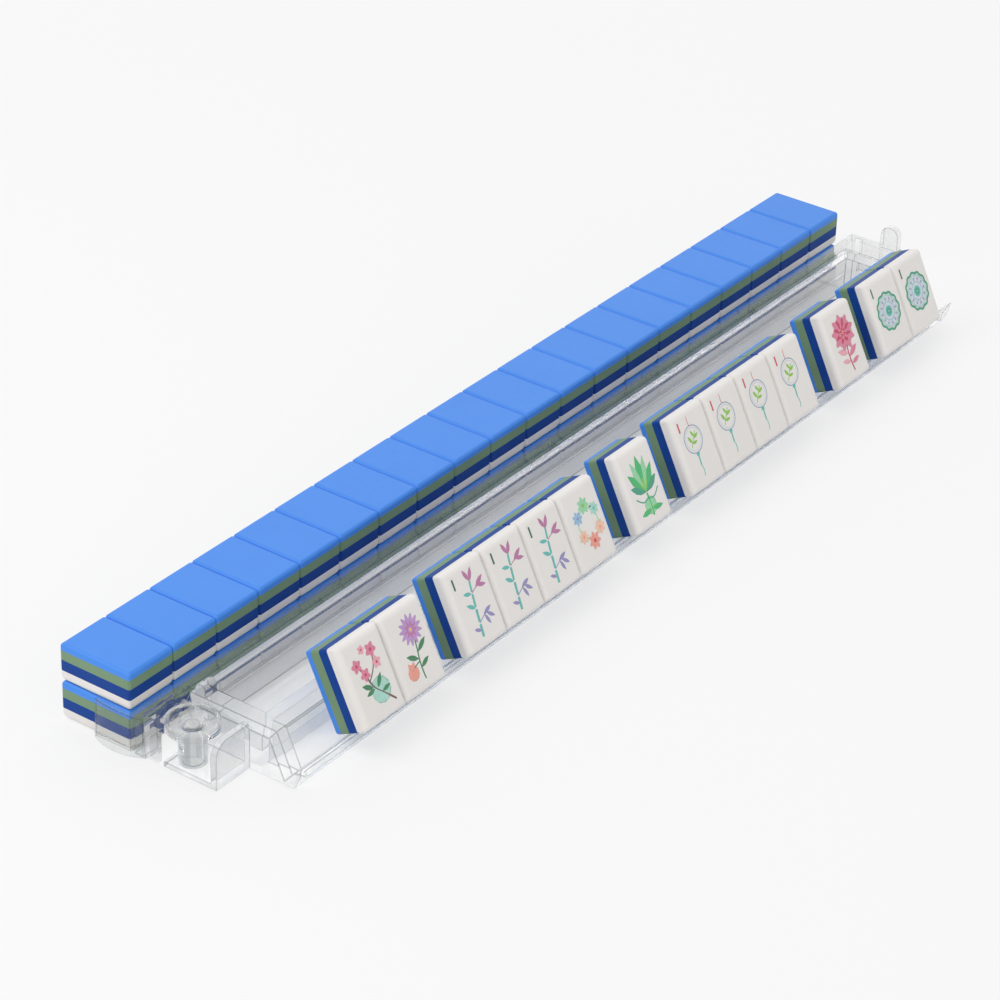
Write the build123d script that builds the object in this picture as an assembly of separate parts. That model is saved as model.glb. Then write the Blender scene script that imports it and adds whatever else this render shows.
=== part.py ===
from build123d import *
import math
import os

# A clear acrylic mah-jongg rack, loaded with tiles. A tray carries a sloping ledge for the
# hand, a flat-topped ridge and a trough. A pusher arm turns on a post at the left end and
# sweeps the wall of tiles, two high, out towards the middle of the table.
#
# Millimetres, +Z up. The pieces are drawn with X along the rack from the left end of the
# tile wall, Y = 0 at the wall's front face with the player on the -Y side, and Z = 0 on the
# table. place() then moves them so that the origin is the bottom centre of the loaded rack.

# ---- driving dimensions: tiles ----
TILE_LONG = 30.0
TILE_WIDE = 21.5
TILE_THICK = 14.75
TILE_CORNER = 0.7
TILE_RIM = 1.5
TILE_PITCH = 21.67
WALL_COLUMNS = 20
LOWER_ROW_BLOCKS = 5
# The hand stands in runs: the first tile's X and the number of tiles in each run.
HAND_RUNS = [(41.3, 2), (97.2, 4), (196.7, 1), (231.6, 4), (333.4, 1), (366.1, 2)]

# ---- driving dimensions: tray ----
RIDGE_Z = 17.4
RIDGE_FRONT_Y = -45.6
DIVIDER_Y = -35.9
REAR_WALL_BACK_Y = -9.4
REAR_WALL_THICK = 3.1
FLOOR_THICK = 3.0
PANEL_THICK = 2.6
VALLEY_Y = -52.0
VALLEY_Z = 3.2
TIP_DROP_Y = 0.9
TIP_DROP_Z = 4.3
TOE_Y = -54.5
TRAY_LEFT_X = 24.8
TRAY_RIGHT_X = 420.3

# ---- driving dimensions: how a tile of the hand stands on the tray ----
LEAN = math.radians(63.7)
TILE_FOOT_DROP = 12.9
LIP_INNER = 5.7
LIP_OUTER = 7.0
TILE_GAP = 0.05

# ---- driving dimensions: end caps ----
LEFT_CAP_X = 16.3
RIGHT_CAP_X = 428.8
CAP_BEVEL = 2.2
EAR_HIGH = 4.4
EAR_LONG = 4.2
EAR_WIDE = 6.0

# ---- driving dimensions: pivot ----
PIVOT_X = 6.2
PIVOT_Y = -21.0
BASE_THICK = 2.0
BRACKET_LEFT_X = 0.0
BRACKET_BACK_Y = -13.6
BRACKET_FRONT_Y = -36.0
BRACKET_WALL = 2.6
BRACKET_CORNER_R = 5.8
POST_R = 2.9
POST_TOP_Z = 16.2
POST_GAP = 0.06
BARREL_R = 4.9
BARREL_BOTTOM_Z = 2.2
FLARE_BOTTOM_Z = 11.4
DISC_R = 9.2
DISC_BOTTOM_Z = 15.2
DISC_FLOOR_Z = 16.4
DISC_TOP_Z = 18.3
DISC_RIM = 1.3
BUTTON_R = 4.4
KNUCKLE_TOP_Z = 16.9
KNUCKLE_WIDE = 15.6
SKIRT_THICK = 1.6
SKIRT_FRONT_Y = -11.8
HEEL_FRONT_Y = -7.0
HEEL_WIDE = 6.7
WEB_THICK = 2.4
WEB_DROP = 7.0

# ---- driving dimensions: pusher arm ----
ARM_WALL = 2.0
ARM_FLANGE = 5.2
ARM_FLANGE_THICK = 1.9
ARM_LEFT_X = -0.1
ARM_RIGHT_X = 446.0
ARM_FOOT_Z = 0.3
ARM_TOP_Z = TILE_THICK
RIB_THICK = 1.6
RIB_SPACING = 68.2
RIB_COUNT = 6
RIB_FIRST_X = 24.3
RIB_DROP = 6.0
STOP_REACH_Y = 14.5
STOP_FLARE = 3.0
STOP_HEEL_Y = -1.4
HOOK_INNER_X = 432.4
HOOK_FRONT_Y = -24.5
TAB_BACK_Y = -15.0
TAB_FRONT_Y = -23.0
TAB_TOP_Z = 24.4
TAB_THICK = 3.2

# ---- derived: directions up a leaning tile's back and out of it, and the tile's foot ----
UP_Y = math.cos(LEAN)
UP_Z = math.sin(LEAN)
OUT_Y = -UP_Z
OUT_Z = UP_Y
TILE_FOOT_Y = RIDGE_FRONT_Y - UP_Y * TILE_FOOT_DROP
TILE_FOOT_Z = RIDGE_Z - UP_Z * TILE_FOOT_DROP


def leaning(out, up):
    """A Y-Z point by its distances out of and up a leaning tile's back, from the tile's foot."""
    return (TILE_FOOT_Y + OUT_Y * out + UP_Y * up, TILE_FOOT_Z + OUT_Z * out + UP_Z * up)


def slab(profile, x_from, x_to):
    """Extrude a closed Y-Z outline along X."""
    outline = Plane.YZ.offset(x_from) * make_face(Polyline(*profile, close=True))
    return extrude(outline, x_to - x_from)


def box(x, y, z):
    """A box given by its (low, high) spans."""
    size = [high - low for low, high in (x, y, z)]
    middle = [(high + low) / 2 for low, high in (x, y, z)]
    return Pos(*middle) * Box(*size)


def prism(plane, wide, high, cut, depth):
    """A bar with cut corners, centred on the origin, its section on a plane."""
    outline = chamfer(Rectangle(wide, high).vertices(), cut)
    return extrude(plane * outline, depth / 2, both=True)


def tile(plane):
    """One tile lying on its back on a plane, its corner at the plane's origin.

    Three bars cross in it: one carries the upright corners, the others the rims of both faces.
    """
    upright = prism(Plane.XY, TILE_WIDE, TILE_LONG, TILE_CORNER, TILE_THICK)
    across = prism(Plane.YZ, TILE_LONG, TILE_THICK, TILE_RIM, TILE_WIDE)
    along = prism(Plane.XZ, TILE_WIDE, TILE_THICK, TILE_RIM, TILE_LONG)
    block = upright & across & along
    return plane * Pos(TILE_WIDE / 2, TILE_LONG / 2, TILE_THICK / 2) * block


def hand_tiles():
    """The tiles that lean on the tray, faces out, one shape for each."""
    seat_y, seat_z = leaning(TILE_GAP, TILE_GAP)
    shapes = []
    for start_x, count in HAND_RUNS:
        for index in range(count):
            corner = (start_x + index * TILE_PITCH, seat_y, seat_z)
            shapes.append(tile(Plane(corner, x_dir=(1, 0, 0), z_dir=(0, OUT_Y, OUT_Z))))
    return shapes


def wall_tile(column, layer):
    """A tile of the wall, face down, standing across the rack's length."""
    corner = (column * TILE_PITCH, 0, layer * TILE_THICK)
    return tile(Plane(corner, x_dir=(1, 0, 0), z_dir=(0, 0, 1)))


def front_outline():
    """The front of the section: ridge edge, panel, valley, the lip's land and its face down."""
    tip_y, tip_z = leaning(LIP_OUTER, 0)
    return [
        (RIDGE_FRONT_Y, RIDGE_Z),
        (VALLEY_Y, VALLEY_Z),
        leaning(LIP_INNER, 0),
        (tip_y, tip_z),
        (tip_y + TIP_DROP_Y, tip_z - TIP_DROP_Z),
        (TOE_Y, 0),
    ]


def rack_tray():
    """Rear wall, trough, hollow ridge, leaning panel and lip, one moulded section."""
    run = (VALLEY_Y - RIDGE_FRONT_Y) / (RIDGE_Z - VALLEY_Z)
    under_z = RIDGE_Z - PANEL_THICK
    under_y = RIDGE_FRONT_Y + PANEL_THICK * math.hypot(1, run) + run * PANEL_THICK
    heel_y = under_y + run * under_z
    rear_inner_y = REAR_WALL_BACK_Y - REAR_WALL_THICK
    profile = [
        (REAR_WALL_BACK_Y, 0),
        (REAR_WALL_BACK_Y, RIDGE_Z),
        (rear_inner_y, RIDGE_Z),
        (rear_inner_y, FLOOR_THICK),
        (DIVIDER_Y, FLOOR_THICK),
        (DIVIDER_Y, RIDGE_Z),
        *front_outline(),
        (heel_y, 0),
        (under_y, under_z),
        (DIVIDER_Y - PANEL_THICK, under_z),
        (DIVIDER_Y - PANEL_THICK, 0),
    ]
    return slab(profile, TRAY_LEFT_X, TRAY_RIGHT_X)


def end_cap(x_from, x_to, outer):
    """Solid cap of the tray's whole outline, bevelled round its outer face."""
    profile = [(REAR_WALL_BACK_Y, 0), (REAR_WALL_BACK_Y, RIDGE_Z), *front_outline()]
    cap = slab(profile, x_from, x_to)
    rim = cap.faces().sort_by(Axis.X)[outer].edges()
    long_edges = rim.filter_by(lambda edge: edge.length > CAP_BEVEL * 4)
    return chamfer(long_edges.filter_by(lambda edge: edge.center().Z > 1), CAP_BEVEL)


def left_end_cap():
    """Cap of the near end, with a small round-topped ear at its back corner."""
    ear_x = (LEFT_CAP_X + CAP_BEVEL, LEFT_CAP_X + CAP_BEVEL + EAR_WIDE)
    ear_y = (REAR_WALL_BACK_Y - CAP_BEVEL - EAR_LONG, REAR_WALL_BACK_Y - CAP_BEVEL)
    ear = box(ear_x, ear_y, (RIDGE_Z - 1, RIDGE_Z + EAR_HIGH))
    rounded = ear.edges().filter_by(Axis.X).group_by(Axis.Z)[-1]
    return end_cap(LEFT_CAP_X, TRAY_LEFT_X, 0) + fillet(rounded, EAR_LONG * 0.45)


def right_end_cap():
    """Cap of the far end."""
    return end_cap(TRAY_RIGHT_X, RIGHT_CAP_X, -1)


def pivot_bracket():
    """Base plate and front wall that stand out from the left cap round the pivot."""
    plate = box((BRACKET_LEFT_X, LEFT_CAP_X), (BRACKET_FRONT_Y, BRACKET_BACK_Y), (0, BASE_THICK))
    wall_y = (BRACKET_FRONT_Y, BRACKET_FRONT_Y + BRACKET_WALL)
    wall = box((BRACKET_LEFT_X, LEFT_CAP_X), wall_y, (0, RIDGE_Z))
    crest = wall.edges().filter_by(Axis.Y).sort_by(lambda edge: edge.center().Z - edge.center().X)[-1]
    wall = fillet(crest, BRACKET_CORNER_R)
    return plate + wall


def pivot_post():
    """The post on which the arm turns, with a coned tip."""
    post = Pos(PIVOT_X, PIVOT_Y, BASE_THICK) * extrude(Circle(POST_R), POST_TOP_Z - BASE_THICK)
    return chamfer(post.edges().sort_by(Axis.Z)[-1], 0.5)


def pivot_button():
    """Button on the post's tip that keeps the arm down."""
    button = Pos(PIVOT_X, PIVOT_Y, POST_TOP_Z) * extrude(Circle(BUTTON_R), DISC_TOP_Z - POST_TOP_Z)
    return chamfer(button.edges().sort_by(Axis.Z)[-1], 0.7)


def pusher_hub():
    """Barrel that flares to a dished disc, both turning on the post."""
    bore = POST_R + POST_GAP
    seat = BUTTON_R + 0.3
    step_z = POST_TOP_Z - 0.3
    section = [
        (bore, BARREL_BOTTOM_Z),
        (BARREL_R, BARREL_BOTTOM_Z),
        (BARREL_R, FLARE_BOTTOM_Z),
        (DISC_R, DISC_BOTTOM_Z),
        (DISC_R, DISC_TOP_Z),
        (DISC_R - DISC_RIM, DISC_TOP_Z),
        (DISC_R - DISC_RIM, DISC_FLOOR_Z),
        (seat, DISC_FLOOR_Z),
        (seat, step_z),
        (bore, step_z),
    ]
    half = Plane.XZ * make_face(Polyline(*section, close=True))
    return Pos(PIVOT_X, PIVOT_Y) * revolve(half, Axis.Z)


def knuckle_plate():
    """Thick plate from the arm's flange to the rim of the hub's disc, and the walls under it."""
    under_z = ARM_TOP_Z - ARM_FLANGE_THICK
    inner_x = ARM_LEFT_X + KNUCKLE_WIDE
    sheet = [
        (ARM_LEFT_X, -ARM_FLANGE),
        (inner_x, -ARM_FLANGE),
        (PIVOT_X + DISC_R * 0.8, PIVOT_Y + DISC_R * 0.6),
        (PIVOT_X, PIVOT_Y),
        (ARM_LEFT_X, PIVOT_Y),
    ]
    plate = Pos(0, 0, under_z) * extrude(make_face(Polyline(*sheet, close=True)), KNUCKLE_TOP_Z - under_z)
    plate -= Pos(PIVOT_X, PIVOT_Y) * extrude(Circle(DISC_R), DISC_TOP_Z)
    wall_z = (ARM_FOOT_Z, under_z)
    skirt = box((ARM_LEFT_X, ARM_LEFT_X + SKIRT_THICK), (SKIRT_FRONT_Y, -ARM_FLANGE), wall_z)
    heel = box((ARM_LEFT_X, ARM_LEFT_X + HEEL_WIDE), (HEEL_FRONT_Y, -ARM_FLANGE), wall_z)
    web = box((inner_x - WEB_THICK, inner_x), (HEEL_FRONT_Y, -ARM_WALL), (under_z - WEB_DROP, under_z))
    return plate + skirt + heel + web


def pusher_arm():
    """Inverted L bar: a wall against the tiles, a flange on top and gussets between."""
    section = [
        (0, ARM_FOOT_Z),
        (0, ARM_TOP_Z),
        (-ARM_FLANGE, ARM_TOP_Z),
        (-ARM_FLANGE, ARM_TOP_Z - ARM_FLANGE_THICK),
        (-ARM_WALL, ARM_TOP_Z - ARM_FLANGE_THICK),
        (-ARM_WALL, ARM_FOOT_Z),
    ]
    bar = slab(section, ARM_LEFT_X, ARM_RIGHT_X)
    under_z = ARM_TOP_Z - ARM_FLANGE_THICK
    gusset = [(-ARM_WALL, under_z), (-ARM_FLANGE, under_z), (-ARM_WALL, under_z - RIB_DROP)]
    for index in range(RIB_COUNT):
        middle_x = RIB_FIRST_X + index * RIB_SPACING
        bar += slab(gusset, middle_x - RIB_THICK / 2, middle_x + RIB_THICK / 2)
    return bar


def end_hook():
    """The arm's far end, turned round the end of the tray: a wide flange and an outer wall."""
    span_y = (HOOK_FRONT_Y, -ARM_FLANGE)
    flange = box((HOOK_INNER_X, ARM_RIGHT_X), span_y, (ARM_TOP_Z - ARM_FLANGE_THICK, ARM_TOP_Z))
    wall = box((ARM_RIGHT_X - ARM_WALL, ARM_RIGHT_X), span_y, (ARM_FOOT_Z, ARM_TOP_Z))
    corner = (flange + wall).edges().filter_by(Axis.Z).sort_by(lambda edge: edge.center().Y - edge.center().X)[0]
    return fillet(corner, ARM_WALL)


def thumb_tab():
    """Upright round-topped tab on the hook, by which a finger swings the arm."""
    radius = (TAB_BACK_Y - TAB_FRONT_Y) / 2
    middle_y = (TAB_BACK_Y + TAB_FRONT_Y) / 2
    shoulder_z = TAB_TOP_Z - radius
    with BuildSketch(Plane.YZ.offset(ARM_RIGHT_X - TAB_THICK)) as outline:
        with BuildLine():
            foot = Line((TAB_BACK_Y, ARM_TOP_Z), (TAB_FRONT_Y, ARM_TOP_Z))
            front = Line(foot @ 1, (TAB_FRONT_Y, shoulder_z))
            crown = ThreePointArc(front @ 1, (middle_y, TAB_TOP_Z), (TAB_BACK_Y, shoulder_z))
            Line(crown @ 1, foot @ 0)
        make_face()
    return extrude(outline.sketch, TAB_THICK)


def end_stop():
    """Flared plate across the near end of the wall, growing out of the arm's end block."""
    sections = []
    foot = (ARM_FOOT_Z, STOP_FLARE, 0.8, HEEL_FRONT_Y)
    crest = (ARM_TOP_Z, 0.8, 0.3, -ARM_FLANGE)
    for z, reach, bulge, near_y in (foot, crest):
        with BuildSketch(Plane.XY.offset(z)) as outline:
            with BuildLine():
                inner = Line((ARM_LEFT_X, near_y), (ARM_LEFT_X, STOP_REACH_Y))
                tip = Line(inner @ 1, (-0.6 - reach * 0.3, STOP_REACH_Y))
                middle = (-0.8 - reach - bulge * 0.3, STOP_REACH_Y * 0.35)
                outer = ThreePointArc(tip @ 1, middle, (-0.8 - reach * 0.8, STOP_HEEL_Y))
                heel = Line(outer @ 1, (-0.8, near_y))
                Line(heel @ 1, inner @ 0)
            make_face()
        sections.append(outline.sketch)
    return loft(sections, ruled=True)


nodes = {
    "rack_tray": rack_tray(),
    "left_end_cap": left_end_cap(),
    "right_end_cap": right_end_cap(),
    "pivot_bracket": pivot_bracket(),
    "pivot_post": pivot_post(),
    "pivot_button": pivot_button(),
    "pusher_hub": pusher_hub(),
    "knuckle_plate": knuckle_plate(),
    "pusher_arm": pusher_arm(),
    "end_stop": end_stop(),
    "end_hook": end_hook(),
    "thumb_tab": thumb_tab(),
}
per_block = WALL_COLUMNS // LOWER_ROW_BLOCKS
for block in range(LOWER_ROW_BLOCKS):
    columns = range(block * per_block, (block + 1) * per_block)
    nodes[f"lower_tiles_{block + 1}"] = Compound([wall_tile(column, 0) for column in columns])
for column in range(WALL_COLUMNS):
    nodes[f"upper_tile_{column + 1:02d}"] = wall_tile(column, 1)
for index, shape in enumerate(hand_tiles()):
    nodes[f"hand_tile_{index + 1:02d}"] = shape

span = Compound(list(nodes.values())).bounding_box()
centre_x = (span.min.X + span.max.X) / 2
centre_y = (span.min.Y + span.max.Y) / 2
place = Pos(-centre_x, -centre_y, -span.min.Z)

os.makedirs("parts", exist_ok=True)
for name, shape in nodes.items():
    export_step(place * shape, f"parts/{name}.step")
print("size", [round(value, 3) for value in span.size])
print("origin in the drawing frame", round(centre_x, 4), round(centre_y, 4), round(span.min.Z, 4))
print("pivot", round(PIVOT_X - centre_x, 4), round(PIVOT_Y - centre_y, 4))
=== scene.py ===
import math
import bmesh
import bpy
from mathutils import Matrix, Vector


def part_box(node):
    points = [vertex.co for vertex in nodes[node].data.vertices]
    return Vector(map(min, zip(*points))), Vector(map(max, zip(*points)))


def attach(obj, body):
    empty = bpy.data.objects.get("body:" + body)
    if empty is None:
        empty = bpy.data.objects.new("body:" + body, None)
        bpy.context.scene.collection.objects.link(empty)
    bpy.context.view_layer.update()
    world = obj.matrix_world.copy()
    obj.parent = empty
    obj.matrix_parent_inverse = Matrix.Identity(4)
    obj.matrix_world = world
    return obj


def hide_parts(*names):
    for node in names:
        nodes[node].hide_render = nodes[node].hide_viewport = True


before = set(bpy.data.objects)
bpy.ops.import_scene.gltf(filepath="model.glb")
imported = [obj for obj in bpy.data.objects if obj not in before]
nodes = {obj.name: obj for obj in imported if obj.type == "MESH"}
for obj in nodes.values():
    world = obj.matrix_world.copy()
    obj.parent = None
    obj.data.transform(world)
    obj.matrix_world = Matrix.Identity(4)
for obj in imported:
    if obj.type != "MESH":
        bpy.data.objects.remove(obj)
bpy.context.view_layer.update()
print("frame loaded, %d nodes" % len(nodes))


# small helpers that every piece uses

millimetre = 0.001
noiseSpread = (0.3, 0.7)  # where nearly all values of a noise lie
skinDepth = 0.00005  # of the faint unevenness on moulded plastic


def newObject(name, bm, materials):
    bmesh.ops.recalc_face_normals(bm, faces=bm.faces)
    mesh = bpy.data.meshes.new(name)
    bm.to_mesh(mesh)
    bm.free()
    for material in materials:
        mesh.materials.append(material)
    piece = bpy.data.objects.new(name, mesh)
    bpy.context.scene.collection.objects.link(piece)
    return piece


def bakeModifiers(piece):
    graph = bpy.context.evaluated_depsgraph_get()
    mesh = bpy.data.meshes.new_from_object(piece.evaluated_get(graph), depsgraph=graph)
    piece.modifiers.clear()
    piece.data = mesh
    return piece


def shadeByAngle(piece, degrees):
    # smooth across gentle edges, crisp across the others
    limit = math.radians(degrees)
    mesh = piece.data
    bm = bmesh.new()
    bm.from_mesh(mesh)
    for face in bm.faces:
        face.smooth = True
    for edge in bm.edges:
        edge.smooth = len(edge.link_faces) == 2 and edge.calc_face_angle(0) < limit
    bm.to_mesh(mesh)
    bm.free()


def evenNormals(piece, degrees):
    # large flat faces stay flat, the rounded edges between them take the turn
    shadeByAngle(piece, degrees)
    even = piece.modifiers.new("even", "WEIGHTED_NORMAL")
    even.keep_sharp = True
    return bakeModifiers(piece)


def wire(tree, start, end):
    tree.links.new(start, end)


def noiseNode(tree, coordinates, scale, detail):
    noise = tree.nodes.new("ShaderNodeTexNoise")
    noise.inputs["Scale"].default_value = scale
    noise.inputs["Detail"].default_value = detail
    wire(tree, coordinates, noise.inputs["Vector"])
    return noise.outputs["Fac"]


def rangeNode(tree, value, low, high):
    node = tree.nodes.new("ShaderNodeMapRange")
    node.inputs["From Min"].default_value, node.inputs["From Max"].default_value = noiseSpread
    node.inputs["To Min"].default_value = low
    node.inputs["To Max"].default_value = high
    wire(tree, value, node.inputs["Value"])
    return node.outputs["Result"]


def blendNode(tree, value, low, high):
    node = tree.nodes.new("ShaderNodeMix")
    node.data_type = "RGBA"
    node.inputs["A"].default_value = (*low, 1)
    node.inputs["B"].default_value = (*high, 1)
    wire(tree, value, node.inputs["Factor"])
    return node.outputs["Result"]


def plastic(name, look):
    # a colour that drifts a little, rubbed in places, on a faintly uneven skin
    material = bpy.data.materials.new(name)
    material.use_nodes = True
    tree = material.node_tree
    shader = tree.nodes["Principled BSDF"]
    where = tree.nodes.new("ShaderNodeTexCoord").outputs["Object"]
    cloud = rangeNode(tree, noiseNode(tree, where, look["cloudScale"], detail=3), 0, 1)
    wire(tree, blendNode(tree, cloud, look["colour"], look["shade"]), shader.inputs["Base Color"])
    handling = noiseNode(tree, where, look["wearScale"], detail=5)
    wire(tree, rangeNode(tree, handling, look["rough"], look["roughWorn"]), shader.inputs["Roughness"])
    skin = tree.nodes.new("ShaderNodeBump")
    skin.inputs["Strength"].default_value = look["skin"]
    skin.inputs["Distance"].default_value = skinDepth
    wire(tree, noiseNode(tree, where, look["skinScale"], detail=2), skin.inputs["Height"])
    wire(tree, skin.outputs["Normal"], shader.inputs["Normal"])
    shader.inputs["IOR"].default_value = look["ior"]
    return material


# camera

cameraSettings = {
    "place": (-0.89876, -0.60469, 0.64469),
    "heading": 54.74,  # degrees from +Y towards +X
    "drop": 30.88,  # degrees below level
    "roll": 1.92,  # degrees
    "lens": 124.1,  # millimetres, as the sensor
    "sensor": 36.0,
    "reach": 50,  # metres
}


def makeCamera(settings):
    heading, drop, roll = (math.radians(settings[key]) for key in ("heading", "drop", "roll"))
    level = Vector((math.cos(heading), -math.sin(heading), 0))
    ahead = Vector((math.sin(heading) * math.cos(drop), math.cos(heading) * math.cos(drop), -math.sin(drop)))
    above = level.cross(ahead)
    right = level * math.cos(roll) + above * math.sin(roll)
    top = above * math.cos(roll) - level * math.sin(roll)
    turn = Matrix((right, top, -ahead)).transposed().to_4x4()
    data = bpy.data.cameras.new("camera")
    data.lens = settings["lens"]
    data.sensor_fit = "HORIZONTAL"
    data.sensor_width = settings["sensor"]
    data.clip_end = settings["reach"]
    camera = bpy.data.objects.new("camera", data)
    camera.matrix_world = Matrix.Translation(settings["place"]) @ turn
    bpy.context.scene.collection.objects.link(camera)
    bpy.context.scene.camera = camera


makeCamera(cameraSettings)


# light, floor and surroundings

studio = {
    "zenith": 0.30,
    "zenithFrom": 0.7,  # how far up the sky has that level
    "horizon": 0.45,
    "glows": [  # pale walls round the table: where, how bright, how tight
        ((0.7, 0.5, 0.45), 1.0, 3.0),
        ((-0.2, -1.0, 0.25), 0.75, 2.0),
    ],
    "floorSize": 6,
    "floorGap": 0.00005,  # below the feet of the tiles
    "floorRough": 0.9,
    "floorGloss": 0.1,
    "floorColour": 0.90,
    "floorSeen": 0.24,  # the darker colour that the camera sees under the lamps
    "seenLift": 0.686,  # and the glow that makes up for it
    "floorLift": 0.03,  # the glow in reflections and through the acrylic
    "sunStrength": 0.9,
    "sunSpread": 50.0,  # degrees
    "sunFrom": (-0.6, 0.1, 1.0),
    "boxStrength": 3.0,
    "boxSize": (0.7, 0.4),
    "boxPlace": (-0.75, 0.45, 0.85),
    "boxAim": (0, 0, 0),
}


def mathNode(tree, operation, first, second):
    node = tree.nodes.new("ShaderNodeMath")
    node.operation = operation
    for socket, value in zip(node.inputs, (first, second)):
        if isinstance(value, (int, float)):
            socket.default_value = value
        else:
            wire(tree, value, socket)
    return node.outputs[0]


def greyRamp(tree, value, stops):
    ramp = tree.nodes.new("ShaderNodeValToRGB")
    for element, (position, level) in zip(ramp.color_ramp.elements, stops):
        element.position = position
        element.color = (level, level, level, 1)
    wire(tree, value, ramp.inputs["Fac"])
    return ramp.outputs["Color"]


def makeStudio(settings):
    world = bpy.data.worlds.new("studio")
    bpy.context.scene.world = world
    world.use_nodes = True
    tree = world.node_tree
    where = tree.nodes.new("ShaderNodeTexCoord").outputs["Generated"]
    split = tree.nodes.new("ShaderNodeSeparateXYZ")
    wire(tree, where, split.inputs[0])
    stops = ((0.0, settings["horizon"]), (settings["zenithFrom"], settings["zenith"]))
    level = greyRamp(tree, split.outputs["Z"], stops)
    for direction, bright, tight in settings["glows"]:
        facing = tree.nodes.new("ShaderNodeVectorMath")
        facing.operation = "DOT_PRODUCT"
        wire(tree, where, facing.inputs[0])
        facing.inputs[1].default_value = Vector(direction).normalized()
        patch = mathNode(tree, "POWER", mathNode(tree, "MAXIMUM", facing.outputs["Value"], 0), tight)
        level = mathNode(tree, "ADD", level, mathNode(tree, "MULTIPLY", patch, bright))
    wire(tree, level, tree.nodes["Background"].inputs["Strength"])
    tree.nodes["Background"].inputs["Color"].default_value = (1, 1, 1, 1)

    # the floor: the camera sees a glowing sheet with a faint shadow, all other light a plain pale one
    bm = bmesh.new()
    bmesh.ops.create_grid(bm, x_segments=1, y_segments=1, size=settings["floorSize"])
    bmesh.ops.translate(bm, verts=bm.verts, vec=(0, 0, -settings["floorGap"]))
    material = bpy.data.materials.new("paperFloor")
    material.use_nodes = True
    tree = material.node_tree
    shader = tree.nodes["Principled BSDF"]
    shader.inputs["Roughness"].default_value = settings["floorRough"]
    shader.inputs["Specular IOR Level"].default_value = settings["floorGloss"]
    path = tree.nodes.new("ShaderNodeLightPath")
    seen = path.outputs["Is Camera Ray"]
    stops = ((0.0, settings["floorColour"]), (1.0, settings["floorSeen"]))
    wire(tree, greyRamp(tree, seen, stops), shader.inputs["Base Color"])
    passing = mathNode(tree, "MAXIMUM", path.outputs["Is Glossy Ray"], path.outputs["Is Transmission Ray"])
    lift = mathNode(tree, "MULTIPLY", passing, settings["floorLift"])
    lift = mathNode(tree, "ADD", lift, mathNode(tree, "MULTIPLY", seen, settings["seenLift"]))
    shader.inputs["Emission Color"].default_value = (1, 1, 1, 1)
    wire(tree, lift, shader.inputs["Emission Strength"])
    floor = newObject("floor", bm, [material])

    sun = bpy.data.lights.new("sun", "SUN")
    sun.energy = settings["sunStrength"]
    sun.angle = math.radians(settings["sunSpread"])
    lamp = bpy.data.objects.new("sun", sun)
    lamp.rotation_euler = Vector(settings["sunFrom"]).to_track_quat("Z", "Y").to_euler()
    bpy.context.scene.collection.objects.link(lamp)

    panel = bpy.data.lights.new("softbox", "AREA")
    panel.shape = "RECTANGLE"
    panel.size, panel.size_y = settings["boxSize"]
    panel.energy = settings["boxStrength"]
    lamp = bpy.data.objects.new("softbox", panel)
    lamp.location = settings["boxPlace"]
    aim = Vector(settings["boxPlace"]) - Vector(settings["boxAim"])
    lamp.rotation_euler = aim.to_track_quat("Z", "Y").to_euler()
    bpy.context.scene.collection.objects.link(lamp)


clearFaces = 48  # as many clear surfaces as light may pass straight through
makeStudio(studio)
bpy.context.scene.cycles.transparent_max_bounces = clearFaces
print("camera, light and floor ready")


# tiles: four layers pressed together, white face to blue back

tileSettings = {
    "size": (0.0215, 0.030, 0.01475),
    "rim": 0.0024,  # the round of the face's edges
    "corner": 0.0010,  # and of the upright ones
    "segments": 5,
    # the back's round as a share of the rim, and how deep the joints lie, from the face
    "wall": {"back": 0.58, "layers": (0.0045, 0.0086, 0.0122)},
    "hand": {"back": 0.5, "layers": (0.0045, 0.0082, 0.0119)},
    "lean": 63.7,  # degrees from flat
    "crisp": 50,  # degrees from which shading breaks
    "wallGap": 0.00005,
}
tileLooks = [
    ("tileFace", {"colour": (0.79, 0.765, 0.74), "shade": (0.775, 0.75, 0.72), "cloudScale": 25,
                  "rough": 0.34, "roughWorn": 0.42, "wearScale": 350, "skin": 0.02, "skinScale": 900,
                  "ior": 1.42}),
    ("tileNavy", {"colour": (0.009, 0.056, 0.285), "shade": (0.008, 0.052, 0.27), "cloudScale": 40,
                  "rough": 0.40, "roughWorn": 0.48, "wearScale": 350, "skin": 0.02, "skinScale": 900,
                  "ior": 1.20}),
    ("tileGreen", {"colour": (0.19, 0.30, 0.18), "shade": (0.175, 0.28, 0.165), "cloudScale": 40,
                   "rough": 0.40, "roughWorn": 0.48, "wearScale": 350, "skin": 0.02, "skinScale": 900,
                   "ior": 1.28}),
    ("tileBlue", {"colour": (0.050, 0.25, 0.80), "shade": (0.046, 0.24, 0.78), "cloudScale": 40,
                  "rough": 0.46, "roughWorn": 0.52, "wearScale": 300, "skin": 0.02, "skinScale": 900,
                  "ior": 1.50}),
]
tileMaterials = [plastic(name, look) for name, look in tileLooks]


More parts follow.
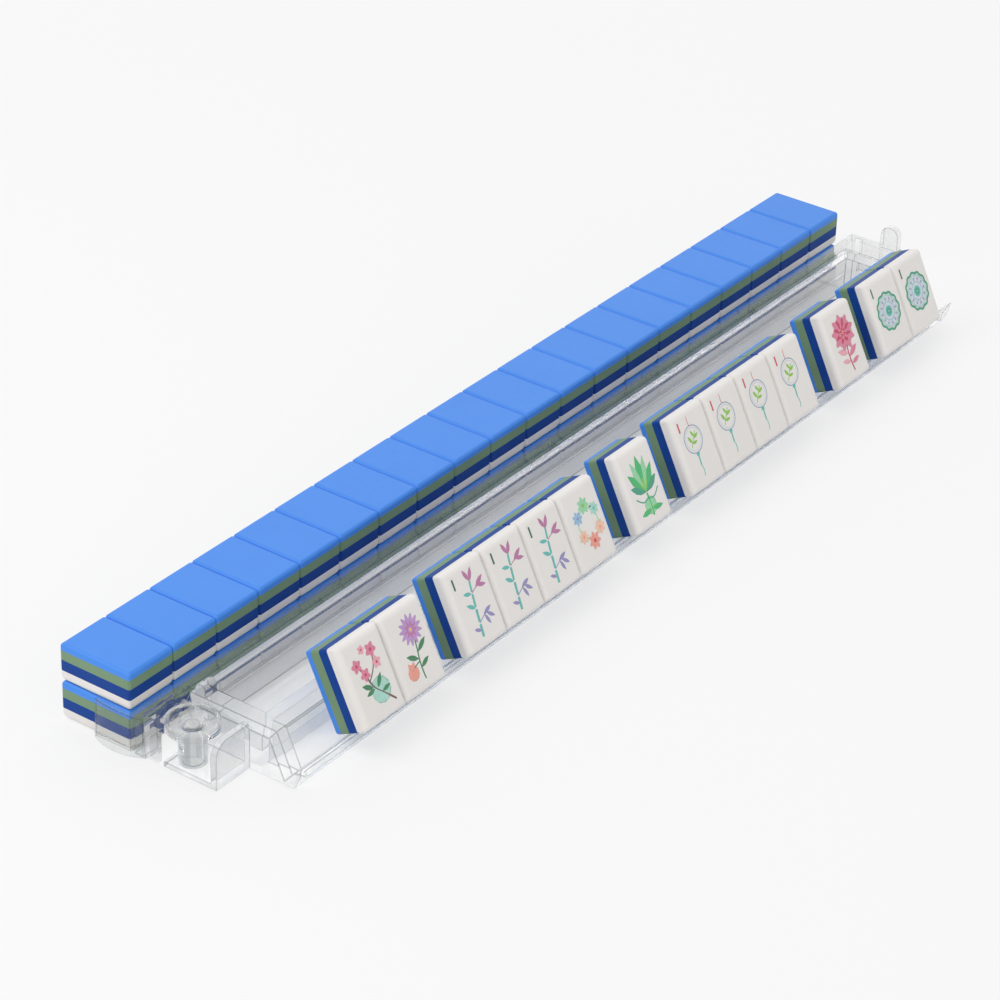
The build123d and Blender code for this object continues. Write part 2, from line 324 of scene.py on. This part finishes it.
def masterTile(settings, kind):
    # a tile about its own middle, face up, one material index a layer
    width, length, thick = settings["size"]
    bm = bmesh.new()
    bmesh.ops.create_cube(bm, size=1)
    bmesh.ops.scale(bm, verts=bm.verts, vec=(width, length, thick))
    share = bm.edges.layers.float.new("bevel_weight_edge")
    for edge in bm.edges:
        low, high = sorted(vert.co.z for vert in edge.verts)
        if high - low > thick / 2:
            edge[share] = settings["corner"] / settings["rim"]
        else:
            edge[share] = kind["back"] if high < 0 else 1
    block = newObject("tile_block", bm, [])
    bevel = block.modifiers.new("round", "BEVEL")
    bevel.width = settings["rim"]
    bevel.segments = settings["segments"]
    bevel.limit_method = "WEIGHT"
    bakeModifiers(block)
    bm = bmesh.new()
    bm.from_mesh(block.data)
    for depth in kind["layers"]:
        bmesh.ops.bisect_plane(bm, geom=bm.verts[:] + bm.edges[:] + bm.faces[:], dist=1e-7,
                               plane_co=(0, 0, thick / 2 - depth), plane_no=(0, 0, 1))
    for face in bm.faces:
        depth = thick / 2 - face.calc_center_median().z
        face.material_index = sum(depth > joint for joint in kind["layers"])
    bm.to_mesh(block.data)
    bm.free()
    mesh = block.data
    bpy.data.objects.remove(block)
    return mesh


tileMeshes = {kind: masterTile(tileSettings, tileSettings[kind]) for kind in ("wall", "hand")}


def layTile(bm, middle, turn):
    bmesh.ops.rotate(bm, verts=bm.verts, cent=(0, 0, 0), matrix=turn)
    bmesh.ops.translate(bm, verts=bm.verts, vec=middle)


faceOut = Matrix.Rotation(math.radians(tileSettings["lean"]), 3, "X")
faceDown = Matrix.Rotation(math.pi, 3, "Y")


def middleOf(node):
    low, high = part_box(node)
    return (low + high) / 2


def shortenFront(mesh, gap):
    # leaves a hair of air between these tiles and the clear wall in front of them
    front = min(vertex.co.y for vertex in mesh.vertices)
    back = max(vertex.co.y for vertex in mesh.vertices)
    for vertex in mesh.vertices:
        vertex.co.y += gap * (back - vertex.co.y) / (back - front)


def tilePiece(node, body, places, turn):
    whole = bmesh.new()
    for place in places:
        block = bmesh.new()
        block.from_mesh(tileMeshes["hand" if turn is faceOut else "wall"])
        layTile(block, place, turn)
        part = bpy.data.meshes.new("part")
        block.to_mesh(part)
        block.free()
        whole.from_mesh(part)
        bpy.data.meshes.remove(part)
    piece = evenNormals(newObject(node + "_layers", whole, tileMaterials), tileSettings["crisp"])
    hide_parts(node)
    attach(piece, body)
    return piece


handNodes = sorted(n for n in nodes if n.startswith("hand_tile_"))
upperNodes = sorted(n for n in nodes if n.startswith("upper_tile_"))
lowerNodes = sorted(n for n in nodes if n.startswith("lower_tiles_"))
for node in handNodes:
    tilePiece(node, node, [middleOf(node)], faceOut)
for node in upperNodes:
    tilePiece(node, node, [middleOf(node)], faceDown)
perBlock = len(upperNodes) // len(lowerNodes)
oneTile = Vector((0, 0, tileSettings["size"][2]))
for index, node in enumerate(lowerNodes):
    above = upperNodes[index * perBlock:(index + 1) * perBlock]
    places = [middleOf(upper) - oneTile for upper in above]
    row = tilePiece(node, "pusher", places, faceDown)
    shortenFront(row.data, tileSettings["wallGap"])
print("tiles laid: %d in the hand, %d in the wall" % (len(handNodes), 2 * len(upperNodes)))


# designs on the faces: thin enamel drops and lines, in millimetres from the face's middle

def fromScreen(level):
    # the standard curve from a screen's 0 to 255 to linear light
    return level / 255 / 12.92 if level < 10 else ((level / 255 + 0.055) / 1.055) ** 2.4


inkColours = {
    "pink": (222, 128, 155), "rose": (198, 62, 98), "blush": (236, 168, 180),
    "lilac": (190, 150, 205), "violet": (150, 144, 192), "magenta": (188, 120, 164),
    "coral": (236, 158, 142), "peach": (242, 196, 170), "mint": (168, 216, 202),
    "leafGreen": (62, 132, 88), "freshGreen": (70, 186, 112), "limeGreen": (140, 198, 78),
    "paleGreen": (150, 214, 168), "teal": (98, 188, 182), "deepTeal": (66, 160, 130),
    "skyBlue": (150, 190, 222), "greyBlue": (150, 168, 192), "paleGrey": (206, 214, 224),
    "bark": (120, 96, 88), "darkGreen": (52, 104, 78), "red": (212, 72, 84), "gold": (232, 196, 96),
}
inkNames = list(inkColours)
wornKeeps = 0.82  # of an ink's colour, where it has faded
wornPale = 0.04  # the paleness that it takes on there
inkLook = {"cloudScale": 700, "rough": 0.30, "roughWorn": 0.42, "wearScale": 900, "skin": 0.2,
           "skinScale": 2500, "ior": 1.45}


def inkMaterial(name):
    colour = tuple(fromScreen(level) for level in inkColours[name])
    worn = tuple(level * wornKeeps + wornPale for level in colour)
    return plastic(name + "Enamel", dict(inkLook, colour=colour, shade=worn))


inkMaterials = [inkMaterial(name) for name in inkNames]

# marks: discs (ink, x, y, radius); lines (ink, width, points, closed);
# leaves (ink, x, y, length, width, turn); flowers (ink, heart, x, y, radius, petals, turn);
# rings of dots (ink, x, y, radius of the ring, count, radius of a dot)
bar = ("darkGreen", 0.85, [(-7.2, 11.9), (-7.2, 7.9)], False)
redBar = ("red", 0.8, [(-7.3, 12.0), (-7.3, 8.2)], False)


def ringPoints(x, y, radius, swell, lobes, steps):
    turns = [2 * math.pi * i / steps for i in range(steps)]
    reach = [radius + swell * math.cos(lobes * t) for t in turns]
    return [(x + r * math.sin(t), y + r * math.cos(t)) for r, t in zip(reach, turns)]


motifs = {
    "plumBranch": {
        "discs": [("mint", 1.6, -5.2, 4.6)],
        "lines": [("bark", 0.75, [(6.6, -10.8), (3.0, -7.0), (-1.5, -3.0), (-2.6, 2.0), (-5.2, 6.2)], False),
                  ("bark", 0.5, [(-2.0, -1.0), (1.6, 1.8), (3.4, 6.4), (2.6, 10.2)], False)],
        "leaves": [("leafGreen", -1.2, -3.4, 5.4, 2.0, 62), ("leafGreen", 0.4, -4.4, 5.6, 2.0, -38),
                   ("leafGreen", 1.6, -6.0, 4.8, 1.7, -80), ("leafGreen", -0.8, -3.8, 4.6, 1.7, 100)],
        "flowers": [("pink", "rose", -5.2, 6.0, 2.5, 5, 10), ("pink", "rose", 3.1, 8.4, 2.7, 5, 40),
                    ("pink", "rose", -2.7, 2.0, 2.4, 5, 25), ("blush", "rose", 3.9, 3.6, 2.2, 5, 0),
                    ("blush", "rose", -0.9, 10.0, 1.7, 5, 50)],
    },
    "chrysanthemum": {
        "discs": [("coral", -3.9, -7.4, 2.7)],
        "lines": [("leafGreen", 0.6, [(2.0, 4.0), (1.4, -1.0), (0.2, -6.0), (0.6, -11.2)], False),
                  ("leafGreen", 0.45, [(0.4, -5.0), (-2.0, -5.4), (-3.9, -6.6)], False)],
        "leaves": [("leafGreen", 1.2, -2.0, 6.2, 2.0, -58), ("leafGreen", 0.6, -4.2, 6.0, 2.0, 62),
                   ("leafGreen", 0.3, -7.2, 5.2, 1.8, -66), ("coral", -3.9, -7.0, 3.6, 1.9, 20),
                   ("coral", -3.9, -7.0, 3.6, 1.9, -24)],
        "flowers": [("lilac", "lilac", 1.4, 6.0, 5.6, 13, 0), ("magenta", "gold", 1.4, 6.0, 3.5, 9, 14)],
    },
    "bambooSpray": {
        "lines": [bar,
                  ("teal", 1.15, [(-1.9, -11.2), (-1.5, -6.8)], False),
                  ("teal", 1.1, [(-1.4, -6.0), (-0.9, -1.6)], False),
                  ("teal", 1.0, [(-0.8, -0.8), (-0.2, 3.6)], False),
                  ("teal", 0.9, [(-0.1, 4.4), (0.6, 8.4)], False),
                  ("violet", 0.35, [(-1.45, -6.4), (1.6, -4.6), (4.0, -4.4)], False),
                  ("magenta", 0.35, [(-0.1, 4.0), (2.6, 5.4), (4.4, 5.2)], False)],
        "leaves": [("magenta", 0.6, 8.2, 5.0, 1.7, 24), ("magenta", 0.5, 7.8, 5.2, 1.8, -28),
                   ("magenta", 2.4, 5.2, 5.4, 1.8, -62), ("magenta", 3.0, 5.4, 4.8, 1.6, -104),
                   ("teal", -0.9, -1.2, 4.6, 1.6, 58), ("teal", -0.5, 3.9, 4.2, 1.5, 74),
                   ("violet", 1.6, -4.6, 4.8, 1.6, -72), ("violet", 3.0, -4.4, 4.6, 1.5, -128),
                   ("violet", 1.9, -4.6, 4.6, 1.5, -158), ("violet", -1.7, -9.0, 3.8, 1.4, 64)],
    },
    "wreath": {
        "lines": [("paleGreen", 0.4, ringPoints(0.4, 0.4, 5.4, 0, 1, 24), True)],
        "flowers": [("paleGreen", "limeGreen", 0.6, 7.0, 3.2, 7, 0), ("mint", "teal", 5.4, 4.0, 2.6, 7, 20),
                    ("skyBlue", "violet", -4.2, 4.0, 2.7, 7, 10), ("coral", "red", 0.6, -6.2, 3.3, 7, 0),
                    ("peach", "coral", 5.4, -3.0, 2.8, 7, 25), ("peach", "coral", -4.2, -3.0, 2.6, 7, 5)],
        "leaves": [("leafGreen", -2.2, 5.4, 2.6, 1.0, 100), ("leafGreen", 3.0, 5.4, 2.6, 1.0, -100),
                   ("limeGreen", -2.4, -4.6, 2.4, 1.0, 80), ("limeGreen", 3.2, -4.6, 2.4, 1.0, -80)],
    },
    "lotus": {
        "discs": [("paleGreen", 0.0, -7.6, 3.4)],
        "lines": [("deepTeal", 0.5, [(-6.6, -3.0), (-3.4, -6.2), (0, -4.6), (3.4, -6.2), (6.6, -3.0)], False),
                  ("freshGreen", 0.9, [(0, -11.4), (0.5, -7.5), (0, -3.0)], False),
                  ("limeGreen", 0.45,
                   [(-4.6, -9.6), (-2.2, -8.0), (0, -8.8), (2.2, -8.0), (4.6, -9.6)], False)],
        "leaves": [("deepTeal", 0, -2.6, 8.6, 3.2, 62), ("deepTeal", 0, -2.6, 8.6, 3.2, -62),
                   ("freshGreen", 0, -2.6, 11.4, 3.6, 38), ("freshGreen", 0, -2.6, 11.4, 3.6, -38),
                   ("paleGreen", 0, -2.6, 13.2, 3.4, 17), ("paleGreen", 0, -2.6, 13.2, 3.4, -17),
                   ("freshGreen", 0, -2.6, 14.0, 4.2, 0), ("limeGreen", 0, -2.0, 8.4, 2.0, 0),
                   ("limeGreen", 0, -2.2, 6.2, 1.4, 30), ("limeGreen", 0, -2.2, 6.2, 1.4, -30),
                   ("freshGreen", 0, -9.0, 6.4, 2.2, 96), ("freshGreen", 0, -9.0, 6.4, 2.2, -96)],
    },
    "fan": {
        "lines": [redBar,
                  ("greyBlue", 0.42, ringPoints(-1.4, 3.6, 5.2, 0, 1, 24), True),
                  ("paleGrey", 0.3, ringPoints(-1.4, 3.6, 4.3, 0, 1, 24), True),
                  ("teal", 0.75, [(-1.4, -1.4), (-1.6, -6.4)], False),
                  ("red", 0.3, [(-1.4, 8.8), (-1.9, 10.6), (-1.4, 12.4)], False),
                  ("teal", 0.4, [(-1.6, -6.4), (-0.6, -8.2), (-1.6, -10.6)], False),
                  ("limeGreen", 0.4, [(-3.6, 0.9), (-1.6, 3.4), (0.8, 6.2)], False)],
        "leaves": [("limeGreen", -2.4, 2.4, 3.6, 1.4, 30), ("limeGreen", -1.2, 3.8, 3.4, 1.3, -70),
                   ("limeGreen", -0.6, 4.4, 3.0, 1.2, 28), ("limeGreen", -2.6, 2.2, 3.2, 1.2, -88),
                   ("teal", -1.5, -1.2, 2.0, 2.0, 180)],
    },
    "peony": {
        "discs": [("blush", 0.2, 4.4, 6.0)],
        "lines": [("rose", 0.7, [(0.2, -1.0), (-0.8, -5.6), (0.4, -11.2)], False)],
        "leaves": [("blush", -0.4, -4.0, 6.6, 2.6, 66), ("pink", -0.2, -5.4, 6.8, 2.6, -64),
                   ("blush", -0.2, -7.4, 5.4, 2.0, 74), ("pink", 0.2, -8.4, 5.4, 2.0, -76)],
        "flowers": [("pink", "rose", 0.2, 4.2, 7.4, 9, 0), ("rose", "blush", 0.2, 4.4, 5.5, 8, 20),
                    ("pink", "rose", 0.2, 4.5, 3.8, 7, 5), ("rose", "gold", 0.2, 4.6, 2.2, 5, 0)],
    },
    "medallion": {
        "discs": [("paleGrey", -0.3, 0.6, 6.6), ("teal", -0.3, 0.6, 3.1)],
        "lines": [("darkGreen", 0.8, [(-7.4, 12.2), (-7.4, 8.2)], False),
                  ("deepTeal", 0.95, ringPoints(-0.3, 0.6, 7.2, 0.30, 12, 72), True),
                  ("mint", 0.5, ringPoints(-0.3, 0.6, 6.2, 0.2, 12, 72), True),
                  ("teal", 0.4, ringPoints(-0.3, 0.6, 3.6, 0.1, 12, 72), True)],
        "flowers": [("deepTeal", "mint", -0.3, 0.6, 1.7, 8, 0)],
        "dots": [("greyBlue", -0.3, 0.6, 4.9, 12, 0.55), ("lilac", -0.3, 0.6, 4.3, 12, 0.3)],
    },
}
motifOfTile = (["plumBranch", "chrysanthemum"] + ["bambooSpray"] * 3 + ["wreath", "lotus"]
               + ["fan"] * 4 + ["peony"] + ["medallion"] * 2)
enamel = {
    "high": 0.10,  # half of it below the face's plane
    "discStep": 0.012,  # each further disc is laid that much higher
    "line": 0.01,  # heights of the middles
    "leaf": 0.02,
    "dot": 0.03,
    "flower": 0.03,
    "flowerStep": 0.008,
    "heartRise": 0.02,
    "heartShare": 0.5,  # a heart's width, as a share of the flower's radius
    "leafTaper": 0.75,
    "petalTaper": 0.35,
    "petalFill": 4.4,  # a petal is that many radii wide, shared by the petals and one more
}


def fillWith(faces, ink):
    for face in faces:
        face.material_index = inkNames.index(ink)
        face.smooth = True


def drop(bm, ink, x, y, wide, length, turn, taper, level):
    # a flattened ball, its foot at x, y, its tip along the turn from upright
    made = bmesh.ops.create_icosphere(bm, subdivisions=2, radius=0.5)
    verts = made["verts"]
    for vert in verts:
        vert.co.x *= 1 - taper * abs(vert.co.y * 2) ** 2
    bmesh.ops.scale(bm, verts=verts, vec=(wide, length, enamel["high"]))
    bmesh.ops.translate(bm, verts=verts, vec=(0, length / 2 if taper else 0, level))
    bmesh.ops.rotate(bm, verts=verts, cent=(0, 0, 0), matrix=Matrix.Rotation(math.radians(turn), 3, "Z"))
    bmesh.ops.translate(bm, verts=verts, vec=(x, y, 0))
    fillWith({face for vert in verts for face in vert.link_faces}, ink)


def line(bm, ink, width, points, closed, level):
    # a flattened tube along a smooth curve
    curve = bpy.data.curves.new("line", "CURVE")
    curve.dimensions = "3D"
    curve.bevel_depth = width / 2
    curve.bevel_resolution = 1
    curve.resolution_u = 3
    curve.use_fill_caps = not closed
    spline = curve.splines.new("NURBS")
    spline.points.add(len(points) - 1)
    for point, (x, y) in zip(spline.points, points):
        point.co = (x, y, 0, 1)
    spline.use_cyclic_u = closed
    spline.order_u = 3
    spline.use_endpoint_u = not closed
    holder = bpy.data.objects.new("line", curve)
    mesh = bpy.data.meshes.new_from_object(holder)
    before = len(bm.faces)
    bm.from_mesh(mesh)
    bm.faces.ensure_lookup_table()
    faces = bm.faces[before:]
    verts = list({vert for face in faces for vert in face.verts})
    bmesh.ops.scale(bm, verts=verts, vec=(1, 1, enamel["high"] / width))
    bmesh.ops.translate(bm, verts=verts, vec=(0, 0, level))
    fillWith(faces, ink)
    bpy.data.objects.remove(holder)
    bpy.data.meshes.remove(mesh)
    bpy.data.curves.remove(curve)


def drawMotif(motif):
    bm = bmesh.new()
    for layer, (ink, x, y, radius) in enumerate(motif.get("discs", [])):
        drop(bm, ink, x, y, 2 * radius, 2 * radius, 0, 0, enamel["discStep"] * layer)
    for ink, width, points, closed in motif.get("lines", []):
        line(bm, ink, width, points, closed, enamel["line"])
    for ink, x, y, length, wide, turn in motif.get("leaves", []):
        drop(bm, ink, x, y, wide, length, turn, enamel["leafTaper"], enamel["leaf"])
    for layer, (ink, heart, x, y, radius, petals, turn) in enumerate(motif.get("flowers", [])):
        level = enamel["flower"] + enamel["flowerStep"] * layer
        wide = enamel["petalFill"] * radius / (petals + 1)
        for index in range(petals):
            drop(bm, ink, x, y, wide, radius, turn + 360 * index / petals, enamel["petalTaper"], level)
        middle = radius * enamel["heartShare"]
        drop(bm, heart, x, y, middle, middle, 0, 0, level + enamel["heartRise"])
    for ink, x, y, reach, count, radius in motif.get("dots", []):
        for dotX, dotY in ringPoints(x, y, reach, 0, 1, count):
            drop(bm, ink, dotX, dotY, 2 * radius, 2 * radius, 0, 0, enamel["dot"])
    return bm


faceHigh = tileSettings["size"][2] / 2
for node, name in zip(handNodes, motifOfTile):
    bm = drawMotif(motifs[name])
    bmesh.ops.scale(bm, verts=bm.verts, vec=(millimetre, millimetre, millimetre))
    bmesh.ops.translate(bm, verts=bm.verts, vec=(0, 0, faceHigh))
    layTile(bm, middleOf(node), faceOut)
    used = sorted({face.material_index for face in bm.faces})
    for face in bm.faces:
        face.material_index = used.index(face.material_index)
    design = newObject(node + "_" + name, bm, [inkMaterials[index] for index in used])
    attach(design, node)
print("designs laid on %d faces" % len(handNodes))


# clear acrylic: the rack and the pusher arm

acrylicLook = {
    "tone": (0.905, 0.907, 0.90),
    "paintedEdgeShade": (0.40, 0.43, 0.44),  # painted shade: a darker grey on the rounded edges, so that they show as thin grey lines
    "paintedEndShade": (0.74, 0.76, 0.76),  # painted shade: a greyer colour on the cut ends of the walls
    "ior": {"rack": 1.12, "pusher": 1.08},  # soft, so that what lies behind stays whole
    "skinIor": 1.40,
    "skinRough": 0.05,
    "rough": 0.012,
    "roughWorn": 0.05,
    "wearScale": 120,
    "ripple": 0.004,
    "rippleDepth": 0.001,
    "rippleScale": 45,
    "shadowTint": (0.972, 0.974, 0.974),
    "deepest": 4,  # bounces after which light passes straight on
}


def acrylic(name, look, tone, ior):
    # clear under a glossy skin; shadow rays and deep ones go straight on
    material = bpy.data.materials.new(name)
    material.use_nodes = True
    tree = material.node_tree
    shader = tree.nodes["Principled BSDF"]
    # the plain clear colour, or for the edges and cut ends a darker grey that paints their shade
    shader.inputs["Base Color"].default_value = (*look[tone], 1)
    shader.inputs["Transmission Weight"].default_value = 1
    shader.inputs["IOR"].default_value = ior
    shader.inputs["Coat Weight"].default_value = 1
    shader.inputs["Coat Roughness"].default_value = look["skinRough"]
    shader.inputs["Coat IOR"].default_value = look["skinIor"]
    where = tree.nodes.new("ShaderNodeTexCoord").outputs["Object"]
    handling = noiseNode(tree, where, look["wearScale"], detail=5)
    wire(tree, rangeNode(tree, handling, look["rough"], look["roughWorn"]), shader.inputs["Roughness"])
    flow = tree.nodes.new("ShaderNodeBump")
    flow.inputs["Strength"].default_value = look["ripple"]
    flow.inputs["Distance"].default_value = look["rippleDepth"]
    wire(tree, noiseNode(tree, where, look["rippleScale"], detail=2), flow.inputs["Height"])
    wire(tree, flow.outputs["Normal"], shader.inputs["Normal"])
    through = tree.nodes.new("ShaderNodeBsdfTransparent")
    through.inputs["Color"].default_value = (*look["shadowTint"], 1)
    path = tree.nodes.new("ShaderNodeLightPath")
    deep = mathNode(tree, "GREATER_THAN", path.outputs["Ray Depth"], look["deepest"])
    mix = tree.nodes.new("ShaderNodeMixShader")
    wire(tree, mathNode(tree, "MAXIMUM", path.outputs["Is Shadow Ray"], deep), mix.inputs[0])
    wire(tree, shader.outputs[0], mix.inputs[1])
    wire(tree, through.outputs[0], mix.inputs[2])
    wire(tree, mix.outputs[0], tree.nodes["Material Output"].inputs["Surface"])
    return material


# the plain clear colour, then painted shade for the rounded edges and for the cut ends
acrylicTintAndShades = ["tone", "paintedEdgeShade", "paintedEndShade"]
clearAcrylic = {
    body: [acrylic(body + tone, acrylicLook, tone, ior) for tone in acrylicTintAndShades]
    for body, ior in acrylicLook["ior"].items()
}

acrylicMesh = {
    "weld": 2e-6,
    "flat": 0.4,  # degrees within which faces count as one
    "sharp": 28,  # degrees from which an edge is rounded
    "crisp": 40,  # degrees from which shading breaks
    "endwise": 0.9,  # how squarely a cut end faces along the rack
}

# edge: the round of the sharp edges, which takes the painted edge shade; wall: the widest cut end that takes
# the painted end shade;
# hubSpace: how far from the hub's axis the rounding starts, since the edges there crowd together
acrylicPieces = [
    {"name": "rack_moulding", "body": "rack", "edge": 0.0003, "wall": 0.0040, "hubSpace": 0.0,
     "nodes": ["rack_tray", "left_end_cap", "right_end_cap", "pivot_bracket", "pivot_post"]},
    {"name": "pivot_button_cap", "body": "rack", "edge": 0.0, "wall": 0.0, "nodes": ["pivot_button"]},
    {"name": "pusher_moulding", "body": "pusher", "edge": 0.00025, "wall": 0.0040, "hubSpace": 0.0115,
     "nodes": ["pusher_arm", "end_stop", "knuckle_plate", "pusher_hub", "end_hook", "thumb_tab"]},
]


def wholeFaces(mesh):
    # one welded skin with its flat faces whole
    bm = bmesh.new()
    bm.from_mesh(mesh)
    bmesh.ops.remove_doubles(bm, verts=bm.verts, dist=acrylicMesh["weld"])
    bmesh.ops.dissolve_degenerate(bm, edges=bm.edges, dist=acrylicMesh["weld"])
    flat = math.radians(acrylicMesh["flat"])
    bmesh.ops.dissolve_limit(bm, angle_limit=flat, verts=bm.verts, edges=bm.edges)
    return bm


def roundEdges(bm, settings):
    # a narrow round on the sharp edges, which never leaves the box that the piece had; its faces take the
    # darker grey of the painted edge shade
    limit = math.radians(acrylicMesh["sharp"])
    middle = middleOf("pusher_hub").xy
    sharp = [edge for edge in bm.edges if edge.calc_face_angle(0) > limit
             and all((vertex.co.xy - middle).length > settings["hubSpace"] for vertex in edge.verts)]
    low, high = ([pick(vertex.co[axis] for vertex in bm.verts) for axis in range(3)] for pick in (min, max))
    bmesh.ops.bevel(bm, geom=sharp, offset=settings["edge"], segments=2, profile=0.5, affect="EDGES",
                    material=acrylicTintAndShades.index("paintedEdgeShade"))
    for vertex in bm.verts:
        vertex.co = [min(max(vertex.co[axis], low[axis]), high[axis]) for axis in range(3)]


def acrylicPiece(settings):
    # the nodes of one moulding joined into one skin
    clear = clearAcrylic[settings["body"]]
    copies = [newObject(node + "_copy", wholeFaces(nodes[node].data), clear) for node in settings["nodes"]]
    piece = copies[0]
    for other in copies[1:]:
        join = piece.modifiers.new("join", "BOOLEAN")
        join.operation = "UNION"
        join.solver = "EXACT"
        join.object = other
        bakeModifiers(piece)
        bpy.data.objects.remove(other)
    whole = wholeFaces(piece.data)
    for face in whole.faces:
        # narrow cut ends that face along the rack take the painted end shade, a greyer colour for their
        # darker look
        width = 2 * face.calc_area() / face.calc_perimeter()
        if abs(face.normal.x) > acrylicMesh["endwise"] and width < settings["wall"]:
            face.material_index = acrylicTintAndShades.index("paintedEndShade")
    if settings["edge"]:
        roundEdges(whole, settings)
    whole.to_mesh(piece.data)
    whole.free()
    evenNormals(piece, acrylicMesh["crisp"])
    piece.name = settings["name"]
    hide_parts(*settings["nodes"])
    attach(piece, settings["body"])
    print("%s: %d faces" % (piece.name, len(piece.data.polygons)))


for settings in acrylicPieces:
    acrylicPiece(settings)
print("acrylic moulded")

bpy.context.scene.view_settings.view_transform = "Standard"
bpy.context.view_layer.update()
